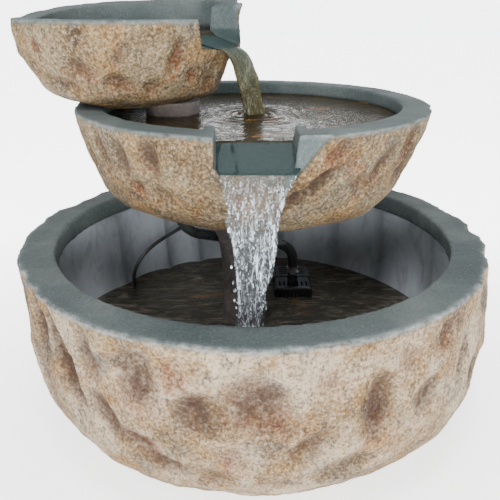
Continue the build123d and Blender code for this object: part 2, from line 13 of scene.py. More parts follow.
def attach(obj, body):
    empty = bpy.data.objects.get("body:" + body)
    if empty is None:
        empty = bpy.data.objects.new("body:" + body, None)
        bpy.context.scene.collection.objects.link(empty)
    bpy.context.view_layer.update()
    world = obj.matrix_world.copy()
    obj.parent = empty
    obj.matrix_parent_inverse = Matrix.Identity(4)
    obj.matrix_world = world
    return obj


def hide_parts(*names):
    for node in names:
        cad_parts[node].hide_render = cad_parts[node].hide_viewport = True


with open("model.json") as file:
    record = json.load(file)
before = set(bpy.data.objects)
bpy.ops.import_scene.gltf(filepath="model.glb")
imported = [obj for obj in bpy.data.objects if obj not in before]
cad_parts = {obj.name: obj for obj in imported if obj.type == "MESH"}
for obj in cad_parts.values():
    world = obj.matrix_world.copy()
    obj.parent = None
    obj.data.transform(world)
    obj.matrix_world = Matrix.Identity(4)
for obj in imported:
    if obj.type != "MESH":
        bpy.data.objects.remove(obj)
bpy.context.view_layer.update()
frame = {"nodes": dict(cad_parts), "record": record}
MM = 0.001

# ---- Camera ------------------------------------------------------------------------------------
CAMERA_PLACE = (0, -0.7221, 0.53825)
CAMERA_PITCH_DOWN = 22.835
CAMERA_LENS = 42.43
CAMERA_SHIFT = -0.0053


def make_camera():
    data = bpy.data.cameras.new("camera")
    data.sensor_width = 36
    data.lens = CAMERA_LENS
    data.shift_x = CAMERA_SHIFT
    camera = bpy.data.objects.new("camera", data)
    camera.location = CAMERA_PLACE
    camera.rotation_euler = (math.radians(90 - CAMERA_PITCH_DOWN), 0, 0)
    bpy.context.scene.collection.objects.link(camera)
    bpy.context.scene.camera = camera


make_camera()

# ---- The design's sizes, in millimetres ----------------------------------------------------------
# They are the CAD model's, but for the middle bowl, which is up to 10 mm slimmer below its rim.
# A bowl's outlines are (radius, height), the outer one upwards and the inner one downwards.
BASIN_RIM_Z = 263
BASIN_OUTER = [(190, 0), (222, 30), (250, 60), (275, 90), (288, 120), (293, 160), (292, 200)]
BASIN_OUTER.append((290, BASIN_RIM_Z))
BASIN_INNER = [(248, BASIN_RIM_Z), (248, 239), (276, 230), (277, 200), (278, 160), (273, 120)]
BASIN_INNER += [(258, 88), (222, 60)]
MIDDLE_CENTRE = (0, 50)
MIDDLE_RIM_Z = 421
MIDDLE_OUTER = [(98, 288), (152, 298), (186, 320), (204, 356), (216, 390), (222, MIDDLE_RIM_Z)]
MIDDLE_INNER = [(188, MIDDLE_RIM_Z), (188, 404), (203, 396), (192, 360), (175, 332), (156, 313), (138, 304)]
TOP_CENTRE = (-150, 65)
TOP_RIM_Z = 521
TOP_BACK_RISE = 20
# The outer face's slope goes on above the rim, where the back of the rim is raised.
TOP_OUTER = [(67, 422), (100, 433), (117, 453), (131, 478), (138, 500), (141, TOP_RIM_Z), (142, 545)]
TOP_INNER = [(114, TOP_RIM_Z), (114, 506), (127, 498), (119, 476), (104, 455), (86, 441), (66, 434)]
# A spout's compass angle, where its chute starts and ends, and its channel's half width: the nominal one, the
# one at the floor, and the near side's above the rim where that cheek leans out.
MIDDLE_SPOUT = {"angle": -89, "inner": 160, "lip": 226, "inner_z": 401, "lip_z": 380}
MIDDLE_SPOUT |= {"half": 41, "floor_half": 38}
TOP_SPOUT = {"angle": -21, "inner": 88, "lip": 143, "inner_z": 501, "lip_z": 484}
TOP_SPOUT |= {"half": 45, "floor_half": 43, "near_high": 96}
CHUTE_THICKNESS = 10
CHEEK = 12
BASIN_WATER_Z = 110
MIDDLE_WATER_Z = 404.5
TOP_WATER_Z = 504
RISER = (-105, 62)

# How fine each bowl's mesh is, how many rounds smooth it, and how far the basin's inner folds stand out.
BASIN_GRID = 3.8
MIDDLE_GRID = 2.5
TOP_GRID = 1.9
SMOOTHING = 4
FOLD_DEPTH = 9

CORD_R = 3
GROMMET_ANGLE = 99.7
GROMMET_Z = 225
GROMMET_INNER_R = 276.167
GROMMET_OUTER_R = 291.206
COIL_CENTRE = (20, 278)
COIL_R = 50
COIL_HEIGHT = 26


def polar(radius, angle, z, centre=(0, 0)):
    """The point at that compass angle and distance from centre."""
    turn = math.radians(angle)
    return (centre[0] + radius * math.cos(turn), centre[1] + radius * math.sin(turn), z)


# ---- Cables ------------------------------------------------------------------------------------
LEAD_ROUTE = [
    (16, 172, 84),
    (-14, 172, 82),
    (-52, 170, 68),
    (-96, 168, 64.5),
    (-140, 160, 64),
    (-176, 148, 72),
    (-193, 139, 104),
    (-192, 141, 142),
    (-168, 160, 172),
    (-126, 191, 190),
    (-80, 223, 206),
    (-48, 244, 220),
    polar(GROMMET_INNER_R - 9, GROMMET_ANGLE, GROMMET_Z),
    polar((GROMMET_INNER_R + GROMMET_OUTER_R) / 2, GROMMET_ANGLE, GROMMET_Z),
]
DROP_ROUTE = [
    polar((GROMMET_INNER_R + GROMMET_OUTER_R) / 2, GROMMET_ANGLE, GROMMET_Z),
    polar(GROMMET_OUTER_R + 22, GROMMET_ANGLE, GROMMET_Z + 1),
    (-54, 335, 212),
    (-58, 345, 172),
    (-62, 348, 128),
    (-66, 346, 84),
    (-66, 342, 40),
    (-56, 335, 8),
    (-24, 328, 3.2),
]
TAIL_ROUTE = [
    (46, 325, 20),
    (74, 319, 10.4),
    (100, 312, 8),
]


def coil_points():
    """The supply cord's turns: layers side by side, wound up and down from the outside in."""
    pitch = 2 * CORD_R + 0.1
    outer = COIL_R - CORD_R
    layers = [outer - k * pitch for k in range(5)]
    levels = 4
    steps = 16
    rise = (COIL_HEIGHT - 2 * CORD_R - 0.6) / (levels - 1)
    points = []
    for n, radius in enumerate(layers):
        last = n == len(layers) - 1
        for turn in range(levels - 1 if last else levels):
            for k in range(steps):
                share = turn + k / steps
                height = CORD_R + 0.2 + min(share, levels - 1) * rise
                if n % 2:
                    height = COIL_HEIGHT - height
                blend = 0 if last else max(0, share - levels + 1)
                angle = 90 - 360 * k / steps
                points.append(polar(radius - pitch * blend, angle, height, COIL_CENTRE))
    return points


def make_cord(name, route):
    """A cord as one smooth spline through its route."""
    curve = bpy.data.curves.new(name, "CURVE")
    curve.dimensions = "3D"
    curve.resolution_u = 6
    curve.bevel_depth = 1  # Each point's radius says how thick the cord is.
    curve.bevel_resolution = 3
    curve.use_fill_caps = True
    spline = curve.splines.new("NURBS")
    spline.points.add(len(route) - 1)
    for point, place in zip(spline.points, route):
        point.co = (*(c * MM for c in place), 1)
        point.radius = CORD_R * MM
    spline.order_u = 3
    spline.use_endpoint_u = True
    cord = bpy.data.objects.new(name, curve)
    bpy.context.scene.collection.objects.link(cord)
    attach(cord, "base")
    return cord


def make_cords():
    lead = make_cord("pump_lead_cable", LEAD_ROUTE)
    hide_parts("pump_lead")
    turns = coil_points()
    supply = make_cord("supply_cable", DROP_ROUTE + turns + TAIL_ROUTE)
    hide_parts("supply_cord", "cord_coil", "cord_tail")
    return [lead, supply]


cords = make_cords()

# ---- Mesh helpers ------------------------------------------------------------------------------


def link(name, mesh):
    piece = bpy.data.objects.new(name, mesh)
    bpy.context.scene.collection.objects.link(piece)
    return piece


def mesh_piece(name, points, faces):
    """A new object from points in millimetres."""
    mesh = bpy.data.meshes.new(name)
    mesh.from_pydata([tuple(c * MM for c in p) for p in points], [], faces)
    mesh.update()
    return link(name, mesh)


def apply_modifiers(piece):
    """Swaps the object's mesh for what its modifiers make of it."""
    seen = piece.evaluated_get(bpy.context.evaluated_depsgraph_get())
    mesh = bpy.data.meshes.new_from_object(seen)
    piece.modifiers.clear()
    old = piece.data
    piece.data = mesh
    bpy.data.meshes.remove(old)


def rounded_line(points, per_run=6):
    """A Catmull-Rom curve through the points."""

    def between(p, q, r, s, t):
        square = (2 * p - 5 * q + 4 * r - s) * t * t
        cube = (3 * q - p - 3 * r + s) * t**3
        return 0.5 * (2 * q + (r - p) * t + square + cube)

    ends = [points[0], *points, points[-1]]
    line = []
    for run in zip(ends, ends[1:], ends[2:], ends[3:]):
        for k in range(per_run):
            line.append(tuple(between(*values, k / per_run) for values in zip(*run)))
    return line + [points[-1]]


def turned(name, outline, centre):
    """A closed solid of revolution. The outline runs from the axis below to the axis above."""
    steps = 160
    points, faces, rings = [], [], []
    for radius, z in outline:
        if radius < 0.01:
            rings.append([len(points)])
            points.append((centre[0], centre[1], z))
            continue
        rings.append([len(points) + k for k in range(steps)])
        points += [polar(radius, 360 * k / steps, z, centre) for k in range(steps)]
    for low, high in zip(rings, rings[1:]):
        for k in range(steps):
            n = (k + 1) % steps
            if len(low) == 1:
                faces.append((low[0], high[n], high[k]))
            elif len(high) == 1:
                faces.append((low[k], low[n], high[0]))
            else:
                faces.append((low[k], low[n], high[n], high[k]))
    return mesh_piece(name, points, faces)


def prism(name, outline, centre, angle, half_low, half_high, near_high=None):
    """A block along a spout, from its side outline of (distance, height), growing wider with height.

    near_high is its half width at the top to the right of the spout, where that differs from half_high.
    """
    heights = [z for _, z in outline]
    low, high = min(heights), max(heights)
    turn = math.radians(angle)
    points = []
    for side, top in ((-1, half_high), (1, near_high or half_high)):
        for along, z in outline:
            half = side * (half_low + (top - half_low) * (z - low) / (high - low))
            x = centre[0] + along * math.cos(turn) + half * math.sin(turn)
            y = centre[1] + along * math.sin(turn) - half * math.cos(turn)
            points.append((x, y, z))
    n = len(outline)
    faces = [tuple(range(n)), tuple(range(2 * n - 1, n - 1, -1))]
    faces += [(k, k + n, (k + 1) % n + n, (k + 1) % n) for k in range(n)]
    block = mesh_piece(name, points, faces)
    shape = bmesh.new()
    shape.from_mesh(block.data)
    bmesh.ops.recalc_face_normals(shape, faces=shape.faces)
    shape.to_mesh(block.data)
    shape.free()
    return block


def combine(piece, other, operation):
    """Joins another solid to the piece or cuts it away, and removes the other one."""
    step = piece.modifiers.new("combine", "BOOLEAN")
    step.operation = operation
    step.solver = "EXACT"
    step.object = other
    apply_modifiers(piece)
    bpy.data.objects.remove(other)


def remesh(piece, size):
    """Evens the piece's mesh out to squares of that size in millimetres, with softened edges."""
    step = piece.modifiers.new("even", "REMESH")
    step.mode = "VOXEL"
    step.voxel_size = size * MM
    apply_modifiers(piece)


def read_points(mesh, field="co"):
    values = np.empty(len(mesh.vertices) * 3)
    mesh.vertices.foreach_get(field, values)
    return values.reshape(-1, 3)


def write_points(mesh, points):
    mesh.vertices.foreach_set("co", points.ravel())
    mesh.update()


def relax(mesh, rounds):
    """Smooths a mesh without shrinking it: each round moves the points in and back out."""
    edges = np.empty(len(mesh.edges) * 2, dtype=np.int64)
    mesh.edges.foreach_get("vertices", edges)
    a, b = edges.reshape(-1, 2).T
    count = np.bincount(np.concatenate([a, b]), minlength=len(mesh.vertices))[:, None]
    points = read_points(mesh)
    for _ in range(rounds):
        for weight in (0.5, -0.52):
            total = np.zeros_like(points)
            for axis in range(3):
                total[:, axis] = np.bincount(a, points[b, axis], len(points))
                total[:, axis] += np.bincount(b, points[a, axis], len(points))
            points += weight * (total / count - points)
    write_points(mesh, points)


def store(mesh, name, values):
    """Keeps one number per point for the materials to read."""
    layer = mesh.attributes.new(name, "FLOAT", "POINT")
    layer.data.foreach_set("value", np.clip(values, 0, 1).astype(np.float32))


def roughness_field(points, size, seed):
    """Smooth noise from -1 to 1 with features of that size in millimetres."""
    scale = 1 / size
    shift = Vector((seed * 7.31, seed * 3.77, seed * 5.19))
    return np.array([noise.noise(Vector(p) * scale + shift) for p in points])


def smooth_step(low, high, values):
    t = np.clip((values - low) / (high - low), 0, 1)
    return t * t * (3 - 2 * t)


# ---- Rock faces --------------------------------------------------------------------------------
# Carved hollows: compass angle, height, half width, half height, lean in degrees, depth, rust tint.
BASIN_HOLLOWS = [
    (-112.7, 219, 23, 31, 8, 8.5, 0.6),
    (-105.0, 231, 12, 15, 0, 3.5, 1.0),
    (-101.2, 192, 25, 25, -20, 8.5, 0.2),
    (-90.5, 205, 37, 30, 10, 8.0, 0.6),
    (-80.7, 150, 27, 14, 25, 7.0, 0.1),
    (-72.0, 122, 26, 17, 15, 6.0, 0.0),
    (-66.7, 188, 17, 37, -6, 9.5, 0.5),
    (-55.4, 177, 15, 21, -40, 8.0, 0.3),
    (-49.5, 236, 13, 17, 0, 6.0, 0.5),
    (-42.0, 198, 15, 30, -15, 8.0, 0.2),
    (-33.0, 160, 22, 28, 0, 8.0, 0.3),
    (-77.0, 222, 16, 12, 20, 3.0, 0.5),
    (-84.0, 176, 17, 13, 0, 3.5, 0.5),
    (-133.0, 200, 17, 62, 24, 11.0, 0.3),
    (-124.5, 226, 14, 34, 18, 6.5, 0.3),
    (-122.0, 160, 15, 34, 40, 8.0, 0.4),
    (-115.0, 142, 14, 30, 62, 7.5, 0.9),
    (-109.5, 122, 13, 34, 62, 8.0, 0.5),
    (-142.0, 225, 16, 46, 14, 9.0, 0.3),
    (-146.0, 158, 20, 36, 20, 9.0, 0.3),
    (-95.0, 138, 20, 15, -20, 4.0, 0.6),
    (-60.0, 232, 18, 14, -25, 3.5, 0.3),
    (-99.0, 108, 24, 14, 0, 5.0, 0.2),
    (-85.5, 97, 22, 13, 0, 5.0, 0.3),
]
MIDDLE_HOLLOWS = [
    (-130.0, 385, 12, 24, 0, 7.0, 0.3),
    (-118.8, 392, 13, 22, 4, 7.5, 0.5),
    (-126.0, 358, 12, 11, 0, 5.0, 0.9),
    (-116.5, 349, 16, 13, -30, 5.5, 0.1),
    (-104.0, 396, 17, 16, 0, 3.0, 0.2),
    (-140.0, 392, 12, 30, 14, 6.0, 0.2),
    (-152.0, 372, 16, 28, 0, 7.0, 0.3),
    (-66.5, 400, 16, 17, -20, 5.5, 0.9),
    (-60.5, 385, 16, 14, 10, 4.0, 0.5),
    (-48.0, 378, 13, 31, -28, 7.5, 0.4),
    (-72.5, 360, 9, 46, -50, 10.0, 0.3),
    (-55.0, 355, 20, 14, -20, 4.5, 0.3),
    (-90.5, 362, 25, 17, 0, 4.5, 1.0),
    (-36.0, 398, 14, 22, 0, 6.0, 0.4),
    (-30.0, 360, 20, 24, -10, 8.0, 0.2),
]
TOP_HOLLOWS = [
    (-128.0, 497, 8, 13, 0, 4.5, 0.8),
    (-106.0, 471, 22, 13, -4, 6.0, 0.6),
    (-84.0, 486, 9, 18, -32, 5.0, 0.6),
    (-87.0, 455, 17, 10, -8, 6.0, 0.4),
    (-57.0, 479, 10, 22, -12, 5.5, 1.0),
    (-70.0, 500, 11, 9, 0, 2.5, 0.1),
    (-121.0, 452, 10, 26, 56, 5.0, 0.3),
    (-140.0, 470, 12, 18, 16, 5.0, 0.5),
    (-68.0, 452, 13, 12, 0, 3.5, 0.4),
    (-44.0, 462, 10, 14, 0, 4.0, 0.9),
]


def more_hollows(section, rows, seed, spacing, taken, size, depth):
    """Hollows for the rest of the face, in loose rows, kept clear of the angles already carved."""
    draw = random.Random(seed)
    first, last = taken
    hollows = []
    for row, z in enumerate(rows):
        count = int(2 * math.pi * radius_at(section, z) / spacing)
        for k in range(count):
            angle = ((k + 0.5 * (row % 2) + draw.uniform(-0.28, 0.28)) * 360 / count + 180) % 360 - 180
            across = size * draw.uniform(0.7, 1.25)
            high = size * draw.uniform(0.8, 1.5)
            height = z + draw.uniform(-12, 12)
            lean = draw.uniform(-35, 35)
            deep = depth * draw.uniform(0.6, 1.2)
            rust = draw.random() ** 2
            if not first < angle < last:
                hollows.append((angle, height, across, high, lean, deep, rust))
    return hollows


def radius_at(section, z):
    """A section's radius at height z, on straight lines between its points."""
    return float(np.interp(z, [h for _, h in section], [r for r, _ in section]))


def carve(piece, section, centre, hollows, rim_z, rim_width, seed, lean):
    """Shapes a bowl's outer face as chiselled rock and keeps what its material needs.

    It returns each point's compass angle, radius and height from before the carving.
    """
    mesh = piece.data
    points = read_points(mesh) / MM
    normals = read_points(mesh, "normal")
    flat = points[:, :2] - np.array(centre)
    radius = np.hypot(flat[:, 0], flat[:, 1])
    radial = flat / np.maximum(radius, 1e-6)[:, None]
    angle = np.degrees(np.arctan2(flat[:, 1], flat[:, 0]))
    z = points[:, 2]
    heights = [h for _, h in section]
    radii = [r for r, _ in section]
    face_r = np.interp(z, heights, radii)
    slope = (np.interp(z + 5, heights, radii) - np.interp(z - 5, heights, radii)) / 10
    stretch = np.hypot(1, slope)

    outward = np.clip(normals[:, 0] * radial[:, 0] + normals[:, 1] * radial[:, 1] - 0.3 * normals[:, 2], 0, 1)
    on_face = smooth_step(-9, -4, (radius - face_r) / stretch) * smooth_step(0.0, 0.35, outward)
    on_rim = smooth_step(0.5, 0.9, normals[:, 2]) * smooth_step(-16, -6, z - rim_z)
    rim_share = on_rim * smooth_step(-rim_width * 0.75, 0, radius - face_r)

    hollow = np.zeros(len(points))
    rust = np.zeros(len(points))
    bend = 6 * roughness_field(points, 24, seed + 4)
    twist = 8 * roughness_field(points, 30, seed + 5)
    for at, height, across, high, tilt, depth, tint in hollows:
        u = np.radians((angle - at + 180) % 360 - 180) * face_r + bend
        v = (np.minimum(z, rim_z - 2) - height) * stretch + twist
        turn = math.radians(tilt)
        a = (u * math.cos(turn) + v * math.sin(turn)) / across
        b = (v * math.cos(turn) - u * math.sin(turn)) / high
        share = np.clip(1 - (a * a + b * b) / 1.7, 0, 1)
        hollow = np.maximum(hollow, depth * share**1.35)
        below = np.clip(1 - (a * a + (b + 0.45) ** 2) / 1.5, 0, 1)
        rust = np.maximum(rust, tint * below)

    big = roughness_field(points, 75, seed)
    medium = roughness_field(points, 26, seed + 1)
    small = roughness_field(points, 9, seed + 2)
    relief = 3.2 * big + 1.7 * medium + 0.75 * small
    push = relief - hollow
    sideways = on_face + rim_share
    step = push * np.clip(sideways, 0, 1)
    lift = np.where(on_face > 0.01, normals[:, 2], 0) * np.clip(1 - on_rim * 2, 0, 1)
    lift *= smooth_step(0, 25, rim_z - z)
    points[:, 0] += radial[:, 0] * step
    points[:, 1] += radial[:, 1] * step
    points[:, 2] += np.clip(lift, -0.8, 0.2) * step * on_face
    points[:, 0] += lean * np.sin(np.clip((z - heights[0]) / (rim_z - heights[0]), 0, 1) * math.pi)
    plain = 0.5 * medium + 0.35 * small
    points += normals * (plain * (1 - np.clip(sideways, 0, 1)))[:, None]
    write_points(mesh, points * MM)

    ragged = 2.5 * medium + 1.2 * small
    rock = on_face * smooth_step(0.0, 5.0, rim_z - z + ragged - 1)
    store(mesh, "rock", rock)
    store(mesh, "hollow", hollow / 8 * on_face)
    store(mesh, "ridge", smooth_step(-1.0, 4.0, relief) * np.clip(1 - hollow / 3, 0, 1))
    store(mesh, "rust", rust * on_face)
    # The edge mask places a painted highlight along the rim's outer edge.
    below_rim = ((z - rim_z) + 2.0 - ragged * 0.4) / 2.2
    store(mesh, "edge", np.exp(-(below_rim**2)) * smooth_step(-7, -2, radius - face_r))
    return {"angle": angle, "radius": radius, "z": z}


def bowl_outline(outer, inner, foot):
    """Foot, outer face, rim and inside of a bowl as one line from axis to axis."""
    return foot + rounded_line(outer) + inner[:2] + rounded_line(inner[2:]) + [(0, inner[-1][1])]


def shade_smooth(piece):
    piece.data.polygons.foreach_set("use_smooth", [True] * len(piece.data.polygons))


def make_basin():
    foot = [(0, 45), (145, 45), (165, 0)]
    basin = turned("basin_stone", bowl_outline(BASIN_OUTER, BASIN_INNER, foot), (0, 0))
    remesh(basin, BASIN_GRID)
    relax(basin.data, SMOOTHING)
    points = read_points(basin.data) / MM
    radius = np.hypot(points[:, 0], points[:, 1])
    angle = np.arctan2(points[:, 1], points[:, 0])
    z = points[:, 2]
    upwards = BASIN_INNER[::-1]
    inner_r = np.interp(z, [h for _, h in upwards], [r for r, _ in upwards])
    # The inner wall hangs in soft folds.
    wall = smooth_step(236, 222, z) * smooth_step(64, 90, z) * (np.abs(radius - inner_r) < 5)
    wobble = 0.9 * np.sin(3 * angle + 1) + 0.6 * np.sin(5 * angle + 2.2)
    fold = np.abs(np.sin(9.5 * angle + wobble))
    inward = FOLD_DEPTH * (1 - fold) ** 1.2 * wall
    points[:, 0] -= np.cos(angle) * inward
    points[:, 1] -= np.sin(angle) * inward
    write_points(basin.data, points * MM)
    rows = (60, 105, 152, 198, 238)
    rest = more_hollows(BASIN_OUTER, rows, seed=5, spacing=62, taken=(-150, -28), size=23, depth=8)
    hollows = BASIN_HOLLOWS + rest
    carve(basin, BASIN_OUTER, (0, 0), hollows, BASIN_RIM_Z, rim_width=42, seed=3, lean=7)
    # This fold pattern lightens and darkens the folds in the material: painted highlights and shade.
    store(basin.data, "wall", wall * (0.35 + 0.65 * fold))
    shade_smooth(basin)
    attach(basin, "base")
    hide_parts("basin")
    return basin


def chute_slope(spout):
    return (spout["inner_z"] - spout["lip_z"]) / (spout["lip"] - spout["inner"])


def cut_spout(piece, outer, centre, spout, rim_z):
    """Adds a spout's cheeks and chute to a bowl and cuts its channel."""
    floor_half, near_high = spout["floor_half"], spout.get("near_high")
    bottom = spout["lip_z"] - CHUTE_THICKNESS
    block = [
        (spout["inner"], bottom),
        (radius_at(outer, bottom) - 1.5, bottom),
        (radius_at(outer, spout["lip_z"]) - 1, spout["lip_z"]),
        (radius_at(outer, rim_z) - 1, rim_z - 0.5),
        (spout["inner"], rim_z - 0.5),
    ]
    half = spout["half"] + CHEEK
    cheeks = prism("block", block, centre, spout["angle"], half, half)
    if near_high:
        # A leaning cheek keeps to the bowl's round outside.
        points = read_points(cheeks.data) / MM
        along, left = spout_frame(points, centre, spout)
        limit = np.array([radius_at(outer, z) - 1 for z in points[:, 2]])
        share = np.where(left < 0, np.minimum(1, limit / np.hypot(along, left)), 1)
        for axis in (0, 1):
            points[:, axis] = centre[axis] + (points[:, axis] - centre[axis]) * share
        write_points(cheeks.data, points * MM)
    combine(piece, cheeks, "UNION")
    # The channel's cutter runs on past the chute's ends and above the rim.
    before, past, above = 14, 30, 60
    start, end = spout["inner"] - before, spout["lip"] + past
    slope = chute_slope(spout)
    channel = [
        (start, spout["inner_z"] + slope * before),
        (end, spout["lip_z"] - slope * past),
        (end, rim_z + above),
        (start, rim_z + above),
    ]
    spread = spout["half"] + (spout["half"] - floor_half) * above / (rim_z - spout["lip_z"])
    cut = prism("channel", channel, centre, spout["angle"], floor_half, spread, near_high)
    combine(piece, cut, "DIFFERENCE")


def spout_frame(points, centre, spout):
    """Each point's distance along a spout and to its left."""
    turn = math.radians(spout["angle"])
    x, y = points[:, 0] - centre[0], points[:, 1] - centre[1]
    return x * math.cos(turn) + y * math.sin(turn), y * math.cos(turn) - x * math.sin(turn)


def make_middle_bowl():
    bowl = turned("middle_bowl_stone", bowl_outline(MIDDLE_OUTER, MIDDLE_INNER, [(0, 288)]), MIDDLE_CENTRE)
    cut_spout(bowl, MIDDLE_OUTER, MIDDLE_CENTRE, MIDDLE_SPOUT, MIDDLE_RIM_Z)
    remesh(bowl, MIDDLE_GRID)
    relax(bowl.data, SMOOTHING)
    rows = (318, 350, 388)
    rest = more_hollows(MIDDLE_OUTER, rows, seed=11, spacing=54, taken=(-158, -26), size=19, depth=7)
    hollows = MIDDLE_HOLLOWS + rest
    facts = carve(bowl, MIDDLE_OUTER, MIDDLE_CENTRE, hollows, MIDDLE_RIM_Z, rim_width=34, seed=8, lean=-3)
    points = read_points(bowl.data) / MM
    # A flat dressed facet beside the spout: a triangle along the rim and down the channel's side.
    corner = np.array(polar(215, -77.5, MIDDLE_RIM_Z, MIDDLE_CENTRE))
    far = np.array(polar(221, -69.5, MIDDLE_RIM_Z, MIDDLE_CENTRE))
    low_z = 374
    low = np.array(polar(213, -78.3, low_z, MIDDLE_CENTRE))
    normal = np.cross(far - corner, low - corner)
    normal *= -np.sign(normal[1]) / np.linalg.norm(normal)
    share = (facts["angle"] + 78.5) / 9
    ragged = 1.5 * roughness_field(points, 7, 61)
    border = low_z + (MIDDLE_RIM_Z - low_z) * share
    facet = smooth_step(-1.0, 1.5, facts["z"] - border + ragged) * (share > -0.2) * (share < 1)
    facet *= facts["radius"] > 203
    height = (points - corner) @ normal
    points -= (height * facet)[:, None] * normal
    write_points(bowl.data, points * MM)
    rock = np.empty(len(points), dtype=np.float32)
    bowl.data.attributes["rock"].data.foreach_get("value", rock)
    bowl.data.attributes["rock"].data.foreach_set("value", (rock * (1 - facet)).astype(np.float32))
    along, left = spout_frame(points, MIDDLE_CENTRE, MIDDLE_SPOUT)
    wet = smooth_step(140, 160, along) * smooth_step(42, 37, np.abs(left)) * smooth_step(375, 380, facts["z"])
    store(bowl.data, "wet", wet * (facts["z"] < 408))
    shade_smooth(bowl)
    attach(bowl, "middle_tier")
    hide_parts("middle_bowl")
    return bowl


def make_top_bowl():
    foot = [(0, 421), (67, 421)]
    bowl = turned("top_bowl_stone", bowl_outline(TOP_OUTER[:-1], TOP_INNER, foot), TOP_CENTRE)
    cut_spout(bowl, TOP_OUTER, TOP_CENTRE, TOP_SPOUT, TOP_RIM_Z)
    remesh(bowl, TOP_GRID)
    relax(bowl.data, SMOOTHING)
    rows = (445, 472, 500)
    rest = more_hollows(TOP_OUTER, rows, seed=23, spacing=40, taken=(-150, -34), size=13, depth=5)
    hollows = TOP_HOLLOWS + rest
    facts = carve(bowl, TOP_OUTER, TOP_CENTRE, hollows, TOP_RIM_Z, rim_width=27, seed=15, lean=-5)
    # The rim rises towards the back, and to the far cheek of the spout.
    points = read_points(bowl.data) / MM
    back, right = points[:, 1] - TOP_CENTRE[1], np.clip(points[:, 0] - TOP_CENTRE[0], 0, None)
    rise = TOP_BACK_RISE * np.clip((back + 0.8 * right) / radius_at(TOP_OUTER, TOP_RIM_Z), 0, 1.03)
    points[:, 2] += rise * smooth_step(500, TOP_RIM_Z, points[:, 2])
    # The far cheek is drawn in towards its top.
    along, left = spout_frame(points, TOP_CENTRE, TOP_SPOUT)
    radius = np.maximum(np.hypot(along, left), 1)
    beside = smooth_step(20, 42, left) * smooth_step(115, 60, left) * smooth_step(30, 80, along)
    inward = 12 * smooth_step(486, 524, points[:, 2]) * beside * np.clip((radius - 112) / 36, 0, 1)
    for axis in (0, 1):
        points[:, axis] -= (points[:, axis] - TOP_CENTRE[axis]) * inward / radius
    write_points(bowl.data, points * MM)
    wet = smooth_step(70, 88, along) * smooth_step(47, 42, np.abs(left)) * smooth_step(478, 484, facts["z"])
    store(bowl.data, "wet", wet * (facts["z"] < 506))
    shade_smooth(bowl)
    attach(bowl, "top_tier")
    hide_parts("top_bowl")
    return bowl


# ---- Materials ---------------------------------------------------------------------------------


def set_range(node, *numbers):
    for socket, number in zip(("From Min", "From Max", "To Min", "To Max"), numbers):
        node.inputs[socket].default_value = number


class Nodes:
    """A short way to wire one material's nodes."""

    def __init__(self, name):
        self.material = bpy.data.materials.new(name)
        self.material.use_nodes = True
        self.tree = self.material.node_tree
        self.surface = self.tree.nodes["Principled BSDF"]
        self.place = self.tree.nodes.new("ShaderNodeTexCoord").outputs["Object"]

    def join(self, value, socket):
        if hasattr(value, "links"):
            self.tree.links.new(value, socket)
        else:
            socket.default_value = value

    def noise(self, scale, detail=3.0, rough=0.55, stretch=None, warp=0.0):
        place = self.place
        if stretch:
            mapping = self.tree.nodes.new("ShaderNodeMapping")
            mapping.inputs["Scale"].default_value = stretch
            self.join(place, mapping.inputs["Vector"])
            place = mapping.outputs["Vector"]
        node = self.tree.nodes.new("ShaderNodeTexNoise")
        node.inputs["Scale"].default_value = scale
        node.inputs["Detail"].default_value = detail
        node.inputs["Roughness"].default_value = rough
        node.inputs["Distortion"].default_value = warp
        self.join(place, node.inputs["Vector"])
        return node.outputs["Fac"]

    def cells(self, scale):
        node = self.tree.nodes.new("ShaderNodeTexVoronoi")
        node.feature = "SMOOTH_F1"
        node.inputs["Scale"].default_value = scale
        self.join(self.place, node.inputs["Vector"])
        return node.outputs["Distance"]

    def spread(self, value, low, high, to_low=0.0, to_high=1.0):
        node = self.tree.nodes.new("ShaderNodeMapRange")
        self.join(value, node.inputs["Value"])
        set_range(node, low, high, to_low, to_high)
        return node.outputs["Result"]

    def math(self, kind, a, b):
        node = self.tree.nodes.new("ShaderNodeMath")
        node.operation = kind
        node.use_clamp = kind in ("ADD", "MULTIPLY", "SUBTRACT")
        self.join(a, node.inputs[0])
        self.join(b, node.inputs[1])
        return node.outputs["Value"]

    def mix(self, share, a, b, kind="MIX"):
        node = self.tree.nodes.new("ShaderNodeMix")
        node.data_type = "RGBA"
        node.blend_type = kind
        self.join(share, node.inputs["Factor"])
        self.join(a, node.inputs[6])
        self.join(b, node.inputs[7])
        return node.outputs[2]

    def ramp(self, value, stops):
        node = self.tree.nodes.new("ShaderNodeValToRGB")
        line = node.color_ramp
        while len(line.elements) < len(stops):
            line.elements.new(0.5)
        for element, (at, color) in zip(line.elements, stops):
            element.position = at
            element.color = (*color, 1)
        self.join(value, node.inputs["Fac"])
        return node.outputs["Color"]

    def kept(self, name):
        node = self.tree.nodes.new("ShaderNodeAttribute")
        node.attribute_name = name
        return node.outputs["Fac"]

    def bump(self, height, distance, under=None):
        node = self.tree.nodes.new("ShaderNodeBump")
        node.inputs["Distance"].default_value = distance
        node.inputs["Strength"].default_value = 1
        self.join(height, node.inputs["Height"])
        if under:
            self.join(under, node.inputs["Normal"])
        return node.outputs["Normal"]

    def finish(self, color, roughness, normal=None, **plain):
        self.join(color if hasattr(color, "links") else (*color, 1), self.surface.inputs["Base Color"])
        self.join(roughness, self.surface.inputs["Roughness"])
        if normal:
            self.join(normal, self.surface.inputs["Normal"])
        for socket, value in plain.items():
            self.surface.inputs[socket.replace("_", " ")].default_value = value
        return self.material


